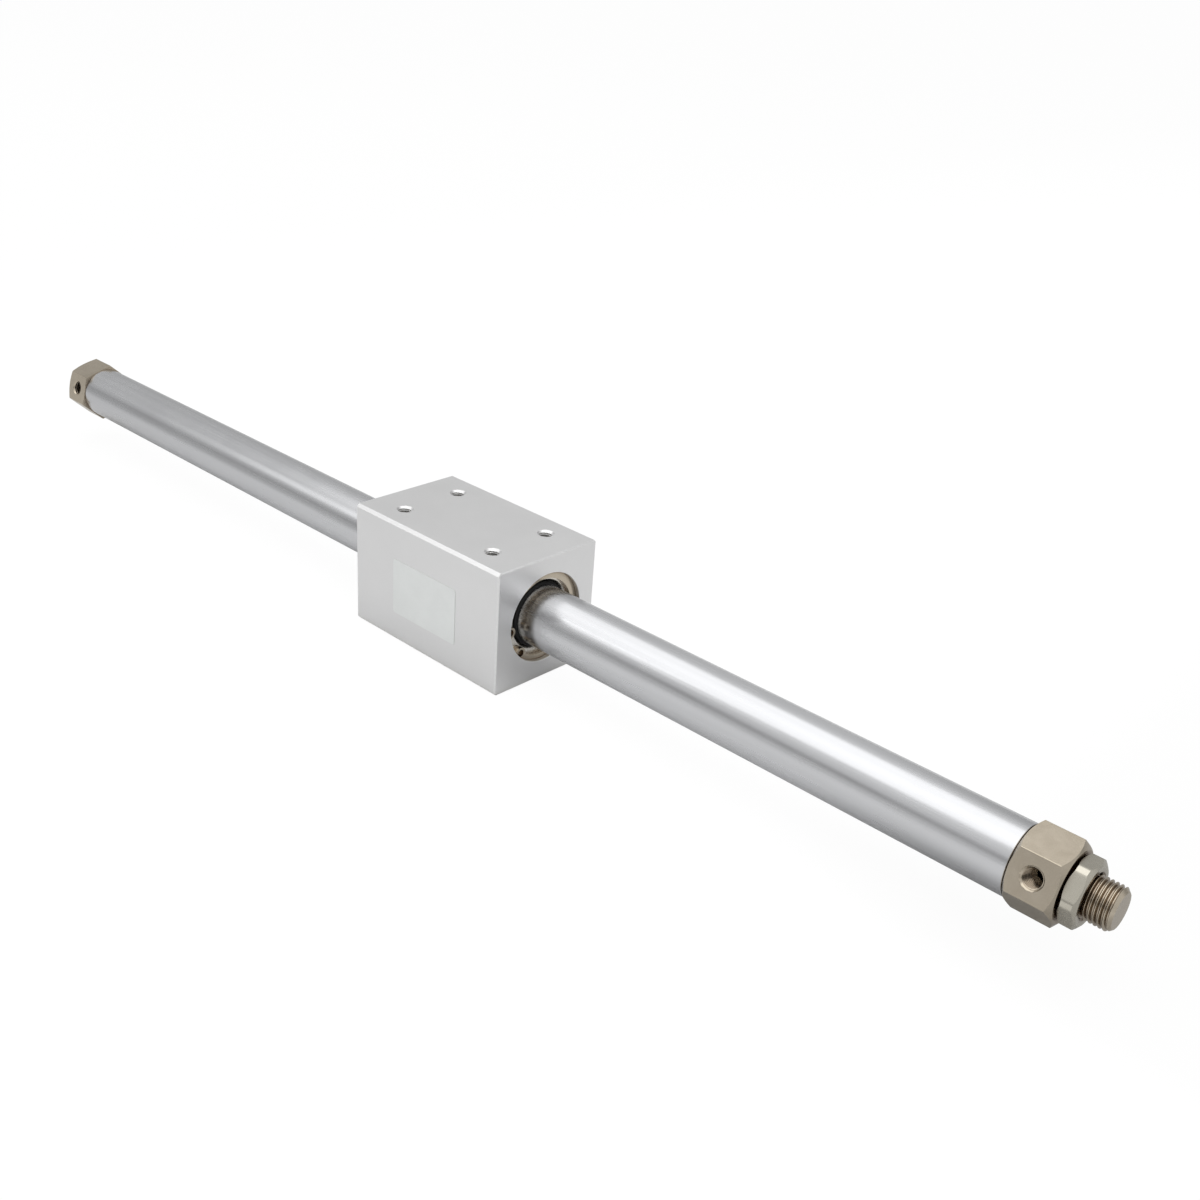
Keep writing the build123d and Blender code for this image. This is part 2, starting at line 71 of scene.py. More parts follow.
# Sizes that the frame's boxes don't show, and directions in degrees from +Y towards +Z
bore_radius = 7.5 * MM
tube_end_chamfer = 0.1 * MM
tube_end_gap = 0.1 * MM
cover_across_flats = 17.0 * MM
cover_face_inset = 0.4 * MM
cover_corner_cut = 0.04 * MM
front_port_direction = 159.7
rear_port_direction = 167.0
port_from_face = 5.5 * MM
port_depth = 6.0 * MM
port_countersink = 0.1 * MM
cross_hole_radius = 1.3 * MM
passage_radius = 2.0 * MM
spigot_clearance = 0.05 * MM
gasket_groove = (2.2 * MM, 3.8 * MM)
gasket_groove_floor = 6.15 * MM
hub_seat_depth = 1.5 * MM
hub_seat_radius = 3.55 * MM
nose_radius = 5.0 * MM
nose_chamfer = 1.0 * MM
nut_across_flats = 14.0 * MM
nut_face_inset = 0.45 * MM
nut_corner_cut = 0.4 * MM
nut_direction = 145.5
nut_mouth = 0.35 * MM
nut_mouth_overrun = 0.2 * MM
nut_thread_gap = 0.03 * MM
hole_spacing = (35.0 * MM, 19.0 * MM)
hole_depth = 6.0 * MM
hole_mouth_radius = 2.35 * MM
wiper_lip_reach = 1.3 * MM
wiper_lip_tip = 0.35 * MM
wiper_lip_edge = 0.55 * MM
wiper_lip_root = 1.1 * MM
wiper_lip_taper = 0.1 * MM
wiper_body_length = 1.95 * MM
wiper_body_gap = 0.8 * MM
wiper_tube_gap = 0.05 * MM
wiper_mouth_radius = 9.15 * MM
washer_thickness = 1.0 * MM
label_size = (25.0 * MM, 16.0 * MM)
label_thickness = 0.12 * MM
label_corner = 0.8 * MM
label_drop = 1.0 * MM

# Threads: outer radius, depth and pitch
NOSE_THREAD = (4.9 * MM, 0.55 * MM, 1.0 * MM)
PORT_THREAD = (2.5 * MM, 0.43 * MM, 0.8 * MM)
MOUNT_THREAD = (2.0 * MM, 0.38 * MM, 0.7 * MM)

# The slope of a thread's flanks, and the coils made past its length, which are cut off
THREAD_FLANK = radians(30)
SPARE_COILS = 3

# The drill's point under a tapped hole, and how far it reaches up into the thread
DRILL_POINT_SLOPE = 0.6
DRILL_TIP_RADIUS = 0.02 * MM
DRILL_SHOULDER = 0.05 * MM
DRILL_REACH = 0.3 * MM

# How far shapes that are joined or cut run past each other
JOIN_OVERLAP = 1.0 * MM
TAP_OVERRUN = 0.4 * MM

# Points round a circle, and steps along a stretch of an outline
TUBE_POINTS = 192
WIPER_POINTS = 144
COVER_POINTS = 96
HOLE_POINTS = 72
HEXAGON_LAND_STEPS = 4
HEXAGON_FLAT_STEPS = 12
THREAD_STEPS = 4
LABEL_CORNER_STEPS = 6

HEXAGON_CHAMFER = radians(35)
SHALLOW_CHAMFER = radians(15)
CRISP_ANGLE = radians(28)
WELD_DISTANCE = 1e-6


def direction(degrees):
    """The unit vector at an angle from +Y towards +Z."""
    return Vector((0, cos(radians(degrees)), sin(radians(degrees))))


# Mesh building


def circle(x, radius, count):
    """Points round the X axis."""
    turns = [2 * pi * step / count for step in range(count)]
    return [(x, radius * cos(turn), radius * sin(turn)) for turn in turns]


def skin(name, rings, hollow=False, climb=0):
    """A closed solid through rings of equally many points, its ends filled, or joined if hollow.

    Where the rings climb round a helix, the last point of a ring joins the first point of the ring
    that is climb rings on."""
    count = len(rings[0])
    last_row = len(rings) - 1

    def vertex(row, step):
        if step == count:
            return min(row + climb, last_row) * count
        return row * count + step

    faces = []
    for row in range(last_row + 1 if hollow else last_row):
        following = 0 if row == last_row else row + 1
        for step in range(count):
            corners = (
                vertex(row, step),
                vertex(row, step + 1),
                vertex(following, step + 1),
                vertex(following, step),
            )
            if len(set(corners)) == 4:
                faces.append(corners)
    if not hollow:
        faces.append(tuple(reversed(range(count))))
        faces.append(tuple(vertex(last_row, step) for step in range(count)))
    mesh = bpy.data.meshes.new(name)
    mesh.from_pydata([point for ring in rings for point in ring], [], faces)
    piece = bpy.data.objects.new(name, mesh)
    bpy.context.scene.collection.objects.link(piece)
    face_outwards(piece)
    return piece


def turned_piece(name, outline, count, hollow=False):
    """A piece turned about the X axis, from the (x, radius) points of its outline."""
    return skin(name, [circle(x, radius, count) for x, radius in outline], hollow)


def face_outwards(piece):
    """Weld the mesh and turn its faces outwards."""
    if "custom_normal" in piece.data.attributes:
        piece.data.attributes.remove(piece.data.attributes["custom_normal"])
    work = bmesh.new()
    work.from_mesh(piece.data)
    bmesh.ops.remove_doubles(work, verts=work.verts, dist=WELD_DISTANCE)
    bmesh.ops.recalc_face_normals(work, faces=work.faces)
    work.to_mesh(piece.data)
    work.free()


def combine(piece, other, operation):
    """Cut a piece with another, or join the two. The other is used up."""
    step = piece.modifiers.new("combine", "BOOLEAN")
    step.operation = operation
    step.solver = "EXACT"
    step.object = other
    bpy.context.view_layer.update()
    graph = bpy.context.evaluated_depsgraph_get()
    result = bpy.data.meshes.new_from_object(piece.evaluated_get(graph))
    piece.modifiers.clear()
    piece.data = result
    bpy.data.objects.remove(other)
    return piece


def smooth(piece):
    """Shade smooth, with sharp edges left crisp."""
    face_outwards(piece)
    mesh = piece.data
    mesh.polygons.foreach_set("use_smooth", [True] * len(mesh.polygons))
    mesh.set_sharp_from_angle(angle=CRISP_ANGLE)
    weighted = piece.modifiers.new("flat_faces_stay_flat", "WEIGHTED_NORMAL")
    weighted.keep_sharp = True


def hexagon_outline(across_flats, face_direction, corner_cut):
    """(y, z) points round a hexagon with one flat facing a direction.

    Its corners are turned down to narrow round lands, a corner cut below the sharp corners."""
    reach = across_flats / 2
    land_radius = reach / cos(pi / 6) - corner_cut
    land_half = pi / 6 - acos(reach / land_radius)
    points = []
    for side in range(6):
        corner = radians(face_direction) + pi / 6 + side * pi / 3
        for step in range(HEXAGON_LAND_STEPS + 1):
            turn = corner + (2 * step / HEXAGON_LAND_STEPS - 1) * land_half
            points.append(land_radius * Vector((cos(turn), sin(turn))))
        start = points[-1]
        end_turn = corner + pi / 3 - land_half
        end = land_radius * Vector((cos(end_turn), sin(end_turn)))
        points += [
            start.lerp(end, step / HEXAGON_FLAT_STEPS) for step in range(1, HEXAGON_FLAT_STEPS)
        ]
    return points


def hexagon_head(
    name,
    low_x,
    high_x,
    across_flats,
    face_direction,
    inset,
    corner_cut,
    high_chamfer=HEXAGON_CHAMFER,
):
    """A hexagon across the X axis with both ends coned down over its corners."""
    face_radius = across_flats / 2 - inset
    outline = hexagon_outline(across_flats, face_direction, corner_cut)
    rings = []
    for end_x, inwards, angle in ((low_x, 1, HEXAGON_CHAMFER), (high_x, -1, high_chamfer)):
        face = [(end_x, *(point.normalized() * face_radius)) for point in outline]
        edge = [
            (end_x + inwards * (point.length - face_radius) * tan(angle), *point)
            for point in outline
        ]
        rings += [face, edge] if inwards > 0 else [edge, face]
    return skin(name, rings)


def thread_profile(thread):
    """(offset, radius) points of one pitch of a 60 degree thread, from the start of its crest."""
    outer, depth, pitch = thread
    crest = pitch / 8
    flank = depth * tan(THREAD_FLANK)
    corners = [
        (0, outer),
        (crest, outer),
        (crest + flank, outer - depth),
        (pitch - flank, outer - depth),
        (pitch, outer),
    ]
    points = []
    for (start, start_radius), (end, end_radius) in zip(corners, corners[1:]):
        for step in range(THREAD_STEPS):
            share = step / THREAD_STEPS
            points.append(
                (start + (end - start) * share, start_radius + (end_radius - start_radius) * share)
            )
    return points


def thread_rod(name, thread, start_x, end_x, limits, count):
    """A threaded rod along X, cut off flat at both ends.

    limits gives the least and the greatest radius at a place along it."""
    pitch = thread[2]
    profile = thread_profile(thread)
    closed = profile + [(pitch, thread[0])]

    def radius_at(phase):
        phase %= pitch
        for (start, start_radius), (end, end_radius) in zip(profile, closed[1:]):
            if phase <= end:
                return start_radius + (end_radius - start_radius) * (phase - start) / (end - start)
        return thread[0]

    rings = []
    for coil in range(int((end_x - start_x) / pitch) + SPARE_COILS):
        for offset, _ in profile:
            ring = []
            for step in range(count):
                climbed = pitch * step / count
                x = start_x - pitch + coil * pitch + offset + climbed
                x = min(max(x, start_x), end_x)
                least, greatest = limits(x)
                radius = min(max(radius_at(x - start_x - climbed), least), greatest)
                turn = 2 * pi * step / count
                ring.append((x, radius * cos(turn), radius * sin(turn)))
            rings.append(ring)
    return skin(name, rings, climb=len(profile))


def tap(name, thread, depth, mouth_radius, place):
    """The shape that a tapped hole leaves out of a body: thread, countersink and drill point.

    place is the matrix that takes +X to the way out of the hole and the origin to its mouth."""
    outer, thread_depth, _ = thread
    minor = outer - thread_depth

    def limits(x):
        countersink = max(mouth_radius + min(x, 0), minor)
        return countersink, outer + max(mouth_radius - outer, 0)

    tool = thread_rod(name, thread, -depth, TAP_OVERRUN, limits, HOLE_POINTS)
    tool.data.transform(place)
    outline = [
        (-depth - minor * DRILL_POINT_SLOPE, DRILL_TIP_RADIUS),
        (-depth + DRILL_SHOULDER, minor),
        (-depth + DRILL_REACH, minor),
    ]
    point = turned_piece(name + "_point", outline, HOLE_POINTS)
    point.data.transform(place)
    return combine(tool, point, "UNION")


def facing(place, way, across):
    """The matrix that takes the origin to a place and +X to a way, with +Y near another."""
    x_axis = Vector(way).normalized()
    z_axis = x_axis.cross(Vector(across)).normalized()
    y_axis = z_axis.cross(x_axis)
    turn = Matrix((x_axis, y_axis, z_axis)).transposed().to_4x4()
    return Matrix.Translation(place) @ turn


# Material building

# Sockets of a colour mix
MIX_SHARE = 0
MIX_FIRST = 6
MIX_SECOND = 7
MIX_RESULT = 2

# Where most values of a noise lie
NOISE_LOW = 0.3
NOISE_HIGH = 0.7


def add_node(tree, kind, **inputs):
    """A shader node with its sockets set by name."""
    made = tree.nodes.new(kind)
    for socket, value in inputs.items():
        made.inputs[socket.replace("_", " ")].default_value = value
    return made


def math_node(tree, operation, first, second=None):
    """A math node on one or two values or sockets."""
    made = tree.nodes.new("ShaderNodeMath")
    made.operation = operation
    for index, value in enumerate((first, second)):
        if isinstance(value, bpy.types.NodeSocket):
            tree.links.new(value, made.inputs[index])
        elif value is not None:
            made.inputs[index].default_value = value
    return made.outputs[0]


def spread(tree, value, low=0, high=1, from_low=NOISE_LOW, from_high=NOISE_HIGH):
    """Map a value from one range to another, and hold it within that."""
    made = add_node(tree, "ShaderNodeMapRange")
    tree.links.new(value, made.inputs["Value"])
    for socket, number in (
        ("From Min", from_low),
        ("From Max", from_high),
        ("To Min", low),
        ("To Max", high),
    ):
        made.inputs[socket].default_value = number
    return made.outputs["Result"]


def add_masks(tree, first, second, share):
    """Two masks added, at a share of their strength."""
    return math_node(tree, "MULTIPLY", math_node(tree, "ADD", first, second), share)


def new_group(name, inputs, outputs):
    """A shader node group with named number sockets."""
    tree = bpy.data.node_groups.new(name, "ShaderNodeTree")
    for label, value in inputs.items():
        socket = tree.interface.new_socket(label, in_out="INPUT", socket_type="NodeSocketFloat")
        socket.default_value = value
    for label in outputs:
        tree.interface.new_socket(label, in_out="OUTPUT", socket_type="NodeSocketFloat")
    return tree, tree.nodes.new("NodeGroupInput"), tree.nodes.new("NodeGroupOutput")


def position(tree):
    """Object coordinates, which are the frame's metres."""
    return tree.nodes.new("ShaderNodeTexCoord").outputs["Object"]


def make_grain_group():
    """Fine even grain, as blasting or casting leaves it."""
    tree, given, result = new_group("surface_grain", {"Scale": 3000.0}, ("Grain",))
    noise = add_node(tree, "ShaderNodeTexNoise", Detail=3.0, Roughness=0.6)
    tree.links.new(position(tree), noise.inputs["Vector"])
    tree.links.new(given.outputs["Scale"], noise.inputs["Scale"])
    tree.links.new(spread(tree, noise.outputs["Fac"]), result.inputs["Grain"])
    return tree


def make_drawn_lines_group():
    """Long fine lines along X, as drawing and polishing leave them on a tube."""
    tree, given, result = new_group(
        "drawn_lines", {"Lines": 2600.0, "Length": 12.0}, ("Lines", "Bands")
    )
    parts = tree.nodes.new("ShaderNodeSeparateXYZ")
    tree.links.new(position(tree), parts.inputs[0])
    for label, share, detail in (("Lines", 1.0, 4.0), ("Bands", 0.12, 2.0)):
        joined = tree.nodes.new("ShaderNodeCombineXYZ")
        across = math_node(tree, "MULTIPLY", given.outputs["Lines"], share)
        along = math_node(tree, "MULTIPLY", given.outputs["Length"], share)
        for index, scale in enumerate((along, across, across)):
            scaled = math_node(tree, "MULTIPLY", parts.outputs[index], scale)
            tree.links.new(scaled, joined.inputs[index])
        noise = add_node(tree, "ShaderNodeTexNoise", Scale=1.0, Detail=detail, Roughness=0.55)
        tree.links.new(joined.outputs[0], noise.inputs["Vector"])
        tree.links.new(spread(tree, noise.outputs["Fac"]), result.inputs[label])
    return tree


def make_turning_group():
    """Fine rings about the X axis, as a lathe leaves them on cylinders, cones and end faces."""
    tree, given, result = new_group("turning_marks", {"Scale": 5000.0}, ("Rings",))
    parts = tree.nodes.new("ShaderNodeSeparateXYZ")
    tree.links.new(position(tree), parts.inputs[0])
    squares = [math_node(tree, "POWER", parts.outputs[axis], 2) for axis in "YZ"]
    radius = math_node(tree, "SQRT", math_node(tree, "ADD", *squares))
    feed = math_node(tree, "ADD", radius, parts.outputs["X"])
    noise = add_node(tree, "ShaderNodeTexNoise", Detail=2.0)
    noise.noise_dimensions = "1D"
    tree.links.new(feed, noise.inputs["W"])
    tree.links.new(given.outputs["Scale"], noise.inputs["Scale"])
    tree.links.new(spread(tree, noise.outputs["Fac"]), result.inputs["Rings"])
    return tree


def make_handling_group():
    """Soft blotches where the surface was handled and wiped."""
    tree, given, result = new_group("handling", {"Scale": 70.0}, ("Blotches",))
    noise = add_node(tree, "ShaderNodeTexNoise", Detail=5.0, Roughness=0.62, Distortion=0.3)
    tree.links.new(position(tree), noise.inputs["Vector"])
    tree.links.new(given.outputs["Scale"], noise.inputs["Scale"])
    tree.links.new(spread(tree, noise.outputs["Fac"]), result.inputs["Blotches"])
    return tree


def make_edge_wear_and_highlight_group():
    """A mask along sharp edges, from how far a bevelled normal turns away from the surface: worn edges
    and a painted edge highlight.
    """
    tree, given, result = new_group("edge_wear_and_highlight", {"Radius": 0.2 * MM}, ("Edge",))
    bevel = tree.nodes.new("ShaderNodeBevel")
    bevel.samples = 4
    tree.links.new(given.outputs["Radius"], bevel.inputs["Radius"])
    surface = tree.nodes.new("ShaderNodeNewGeometry")
    across = tree.nodes.new("ShaderNodeVectorMath")
    across.operation = "DOT_PRODUCT"
    tree.links.new(bevel.outputs["Normal"], across.inputs[0])
    tree.links.new(surface.outputs["Normal"], across.inputs[1])
    noise = add_node(tree, "ShaderNodeTexNoise", Scale=900.0, Detail=3.0)
    tree.links.new(position(tree), noise.inputs["Vector"])
    turned = spread(tree, across.outputs["Value"], low=1, high=0, from_low=0.86, from_high=0.995)
    broken = spread(tree, noise.outputs["Fac"], low=0.35, from_low=0.35, from_high=0.6)
    tree.links.new(math_node(tree, "MULTIPLY", turned, broken), result.inputs["Edge"])
    return tree


def make_crevice_shade_group():
    """A mask of painted shade for grooves, threads and gaps, from ambient occlusion: darker where
    little light gets in.
    """
    tree, given, result = new_group("painted_crevice_shade", {"Reach": 1.0 * MM}, ("CreviceShade",))
    open_share = tree.nodes.new("ShaderNodeAmbientOcclusion")
    open_share.samples = 8
    tree.links.new(given.outputs["Reach"], open_share.inputs["Distance"])
    shut = spread(tree, open_share.outputs["AO"], low=1, high=0, from_low=0.35, from_high=0.9)
    tree.links.new(shut, result.inputs["CreviceShade"])
    return tree


grain_group = make_grain_group()
drawn_group = make_drawn_lines_group()
turning_group = make_turning_group()
handling_group = make_handling_group()
edge_wear_and_highlight_group = make_edge_wear_and_highlight_group()
crevice_shade_group = make_crevice_shade_group()


def place_group(tree, group, **inputs):
    """An effect placed in a material with its own values."""
    made = tree.nodes.new("ShaderNodeGroup")
    made.node_tree = group
    for socket, value in inputs.items():
        made.inputs[socket].default_value = value
    return made


def new_material(name, **sockets):
    """A material with one Principled shader, its plain values set on the shader's own sockets."""
    made = bpy.data.materials.new(name)
    made.use_nodes = True
    shader = made.node_tree.nodes["Principled BSDF"]
    for socket, value in sockets.items():
        shader.inputs[socket.replace("_", " ")].default_value = value
    return made, made.node_tree, shader


def shade_between(tree, shader, mask, low, high):
    """Base colour between two colours, by a mask."""
    mix = tree.nodes.new("ShaderNodeMix")
    mix.data_type = "RGBA"
    tree.links.new(mask, mix.inputs[MIX_SHARE])
    mix.inputs[MIX_FIRST].default_value = (*low, 1)
    mix.inputs[MIX_SECOND].default_value = (*high, 1)
    tree.links.new(mix.outputs[MIX_RESULT], shader.inputs["Base Color"])
    return mix.outputs[MIX_RESULT]


def darken(tree, shader, colour, mask, tint):
    """Multiply the base colour by a tint where the mask is."""
    mix = tree.nodes.new("ShaderNodeMix")
    mix.data_type = "RGBA"
    mix.blend_type = "MULTIPLY"
    tree.links.new(mask, mix.inputs[MIX_SHARE])
    tree.links.new(colour, mix.inputs[MIX_FIRST])
    mix.inputs[MIX_SECOND].default_value = (*tint, 1)
    tree.links.new(mix.outputs[MIX_RESULT], shader.inputs["Base Color"])


def add_bump(tree, shader, height, depth):
    """Bump of a real depth in metres, by a mask from 0 to 1."""
    bump = add_node(tree, "ShaderNodeBump", Strength=1.0, Distance=depth)
    tree.links.new(height, bump.inputs["Height"])
    tree.links.new(bump.outputs["Normal"], shader.inputs["Normal"])


def add_roughness(tree, shader, value, low, high):
    """Roughness between two values, by a mask from 0 to 1."""
    roughness = spread(tree, value, low, high, from_low=0, from_high=1)
    tree.links.new(roughness, shader.inputs["Roughness"])


def make_tube_steel():
    """Thin drawn stainless steel, polished along the tube."""
    made, tree, shader = new_material("drawn_stainless", Metallic=1.0)
    drawn = place_group(tree, drawn_group, Lines=2600.0, Length=12.0)
    lines = drawn.outputs["Lines"]
    bands = drawn.outputs["Bands"]
    blotches = place_group(tree, handling_group, Scale=55.0).outputs["Blotches"]
    shade_between(tree, shader, bands, low=(0.63, 0.635, 0.65), high=(0.69, 0.695, 0.71))
    uneven = add_masks(tree, blotches, lines, share=0.5)
    add_roughness(tree, shader, uneven, low=0.19, high=0.31)
    add_bump(tree, shader, lines, depth=2.2 * MICRON)
    return made


def make_plate(name, dull, bright, smoothest, roughest, crevice_shade_tint=(0.36, 0.29, 0.24)):
    """Satin plate over a machined piece, brighter on its edges by wear and a painted highlight, and
    darker in its grooves by painted shade.
    """
    made, tree, shader = new_material(name, Metallic=1.0)
    grain = place_group(tree, grain_group, Scale=2600.0).outputs["Grain"]
    blotches = place_group(tree, handling_group, Scale=180.0).outputs["Blotches"]
    # Worn edges and a painted highlight: the colour is brighter along sharp edges.
    edge = place_group(tree, edge_wear_and_highlight_group, Radius=0.2 * MM).outputs["Edge"]
    edge_wear_highlight_share, blotch_share = 0.45, 0.4
    worn_and_highlit = math_node(tree, "MULTIPLY", edge, edge_wear_highlight_share)
    wiped = math_node(tree, "MULTIPLY", blotches, blotch_share)
    mask = math_node(tree, "MAXIMUM", wiped, worn_and_highlit)
    plate = shade_between(tree, shader, mask, dull, bright)
    # Painted shade: the colour darkens in grooves, threads and gaps where little light gets in.
    crevice_shade = place_group(tree, crevice_shade_group, Reach=2.5 * MM).outputs["CreviceShade"]
    darken(tree, shader, plate, crevice_shade, crevice_shade_tint)
    uneven = add_masks(tree, grain, blotches, share=0.5)
    add_roughness(tree, shader, uneven, smoothest, roughest)
    add_bump(tree, shader, grain, depth=1.5 * MICRON)
    return made


def make_anodised():
    """Clear anodised aluminium, fine matte, brighter along its chamfers by a painted highlight, and
    darker in its hollows by painted shade.
    """
    made, tree, shader = new_material("matte_anodised", Metallic=0.9, IOR=1.6)
    grain = place_group(tree, grain_group, Scale=3600.0).outputs["Grain"]
    blotches = place_group(tree, handling_group, Scale=60.0).outputs["Blotches"]
    # Painted highlight: the colour is brighter along the chamfers.
    edge = place_group(tree, edge_wear_and_highlight_group, Radius=0.8 * MM).outputs["Edge"]
    uneven = add_masks(tree, grain, blotches, share=0.15)
    mask = math_node(tree, "MAXIMUM", uneven, edge)
    coat = shade_between(tree, shader, mask, low=(0.785, 0.785, 0.785), high=(0.93, 0.93, 0.93))
    # Painted shade: the colour darkens in holes, grooves and gaps where little light gets in.
    crevice_shade = place_group(tree, crevice_shade_group, Reach=3.0 * MM).outputs["CreviceShade"]
    darken(tree, shader, coat, crevice_shade, tint=(0.85, 0.84, 0.82))
    roughness_lift = 0.3
    lifted = math_node(tree, "ADD", uneven, roughness_lift)
    add_roughness(tree, shader, lifted, low=0.28, high=0.42)
    add_bump(tree, shader, grain, depth=4.0 * MICRON)
    return made


def make_rubber():
    """Smooth moulded black rubber."""
    made, tree, shader = new_material("black_rubber", Specular_IOR_Level=0.25)
    grain = place_group(tree, grain_group, Scale=1800.0).outputs["Grain"]
    shade_between(tree, shader, grain, low=(0.006, 0.006, 0.006), high=(0.015, 0.015, 0.015))
    add_roughness(tree, shader, grain, low=0.5, high=0.65)
    add_bump(tree, shader, grain, depth=10.0 * MICRON)
    return made


def make_resin(name, dark, pale):
    """Moulded resin with a faint grain."""
    made, tree, shader = new_material(name, Specular_IOR_Level=0.45)
    grain = place_group(tree, grain_group, Scale=1400.0).outputs["Grain"]
    shade_between(tree, shader, grain, dark, pale)
    add_roughness(tree, shader, grain, low=0.4, high=0.6)
    add_bump(tree, shader, grain, depth=10.0 * MICRON)
    return made


def make_turned(name, dark, pale):
    """Bare or lightly coated metal, turned on a lathe."""
    made, tree, shader = new_material(name, Metallic=1.0)
    rings = place_group(tree, turning_group, Scale=3200.0).outputs["Rings"]
    shade_between(tree, shader, rings, dark, pale)
    add_roughness(tree, shader, rings, low=0.22, high=0.36)
    add_bump(tree, shader, rings, depth=4.0 * MICRON)
    return made


def make_label_film():
    """A blank satin film label."""
    made, tree, shader = new_material("label_film", Metallic=0.3, IOR=1.5)
    grain = place_group(tree, grain_group, Scale=5200.0).outputs["Grain"]
    blotches = place_group(tree, handling_group, Scale=120.0).outputs["Blotches"]
    shade_between(tree, shader, blotches, low=(0.81, 0.83, 0.82), high=(0.86, 0.88, 0.87))
    add_roughness(tree, shader, grain, low=0.34, high=0.46)
    add_bump(tree, shader, grain, depth=3.0 * MICRON)
    return made


nut_plate = make_plate(
    "nut_nickel",
    dull=(0.57, 0.54, 0.46),
    bright=(0.72, 0.69, 0.61),
    smoothest=0.2,
    roughest=0.32,
)
washer_plate = make_plate(
    "washer_zinc",
    dull=(0.74, 0.72, 0.67),
    bright=(0.86, 0.84, 0.79),
    smoothest=0.2,
    roughest=0.32,
    # Only faint painted shade in the washer's grooves.
    crevice_shade_tint=(0.85, 0.82, 0.78),
)
label_film = make_label_film()

# The material of each slot in the record
NODE_MATERIALS = {
    "stainless_tube": make_tube_steel(),
    "nickel_plate": make_plate(
        "nickel_plate",
        dull=(0.52, 0.455, 0.36),
        bright=(0.70, 0.63, 0.52),
        smoothest=0.17,
        roughest=0.28,
    ),
    "anodised_block": make_anodised(),
    "ring_plate": make_plate(
        "ring_nickel",
        dull=(0.50, 0.44, 0.35),
        bright=(0.74, 0.67, 0.56),
        smoothest=0.15,
        roughest=0.26,
    ),
    "magnet": make_turned("magnet_nickel", dark=(0.40, 0.40, 0.42), pale=(0.50, 0.50, 0.52)),
    "zinc_steel": make_turned("zinc_plate", dark=(0.50, 0.51, 0.52), pale=(0.62, 0.63, 0.63)),
    "stainless_shaft": make_turned("shaft_stainless", dark=(0.56, 0.56, 0.58), pale=(0.66, 0.66, 0.68)),
    "chromated_aluminium": make_turned("chromate", dark=(0.66, 0.65, 0.60), pale=(0.76, 0.75, 0.70)),
    "nitrile_rubber": make_rubber(),
    "urethane": make_resin("amber_urethane", dark=(0.42, 0.30, 0.12), pale=(0.50, 0.37, 0.17)),
    "bearing_resin": make_resin("bearing_resin", dark=(0.16, 0.11, 0.07), pale=(0.22, 0.16, 0.11)),
    "porous_resin": make_resin("oiled_resin", dark=(0.60, 0.57, 0.47), pale=(0.70, 0.67, 0.58)),
}


def dress_nodes():
    """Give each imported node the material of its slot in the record."""
    slots = {part["node"]: part["material_slot"] for part in frame["record"]["subparts"]}
    for name, node in frame["nodes"].items():
        node.data.materials.clear()
        washer = name in ("front_seat_washer", "rear_seat_washer")
        node.data.materials.append(washer_plate if washer else NODE_MATERIALS[slots[name]])


def fit(piece, body, slot, *nodes, material=None):
    """Give a piece its material, the body it rides on and the nodes that it stands for."""
    piece.data.materials.clear()
    piece.data.materials.append(material or NODE_MATERIALS[slot])
    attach(piece, body)
    if nodes:
        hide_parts(*nodes)


# Pieces


def make_tube():
    """The cylinder tube, with its outer end edges broken."""
    chamfer = tube_end_chamfer
    start_x = tube_low.x + tube_end_gap
    end_x = tube_high.x - tube_end_gap
    outline = [
        (start_x, bore_radius),
        (start_x, tube_radius - chamfer),
        (start_x + chamfer, tube_radius),
        (end_x - chamfer, tube_radius),
        (end_x, tube_radius - chamfer),
        (end_x, bore_radius),
    ]
    tube = turned_piece("tube", outline, TUBE_POINTS, hollow=True)
    smooth(tube)
    fit(tube, "cylinder", "stainless_tube", "cylinder_tube")


def cover_blank(
    name, tube_end_x, outer_x, spigot_tip_x, face_direction, high_chamfer=HEXAGON_CHAMFER
):
    """A cover's hexagon head joined to the spigot that closes the tube."""
    side = 1 if outer_x > tube_end_x else -1
    head = hexagon_head(
        name,
        min(tube_end_x, outer_x),
        max(tube_end_x, outer_x),
        cover_across_flats,
        face_direction,
        cover_face_inset,
        cover_corner_cut,
        high_chamfer,
    )
    spigot_radius = bore_radius - spigot_clearance
    groove_start, groove_end = [tube_end_x - side * distance for distance in gasket_groove]
    outline = [
        (tube_end_x + side * JOIN_OVERLAP, spigot_radius),
        (groove_start, spigot_radius),
        (groove_start, gasket_groove_floor),
        (groove_end, gasket_groove_floor),
        (groove_end, spigot_radius),
        (spigot_tip_x, spigot_radius),
        (spigot_tip_x, hub_seat_radius),
        (spigot_tip_x + side * hub_seat_depth, hub_seat_radius),
    ]
    spigot = turned_piece(name + "_spigot", outline, COVER_POINTS)
    return combine(head, spigot, "UNION")


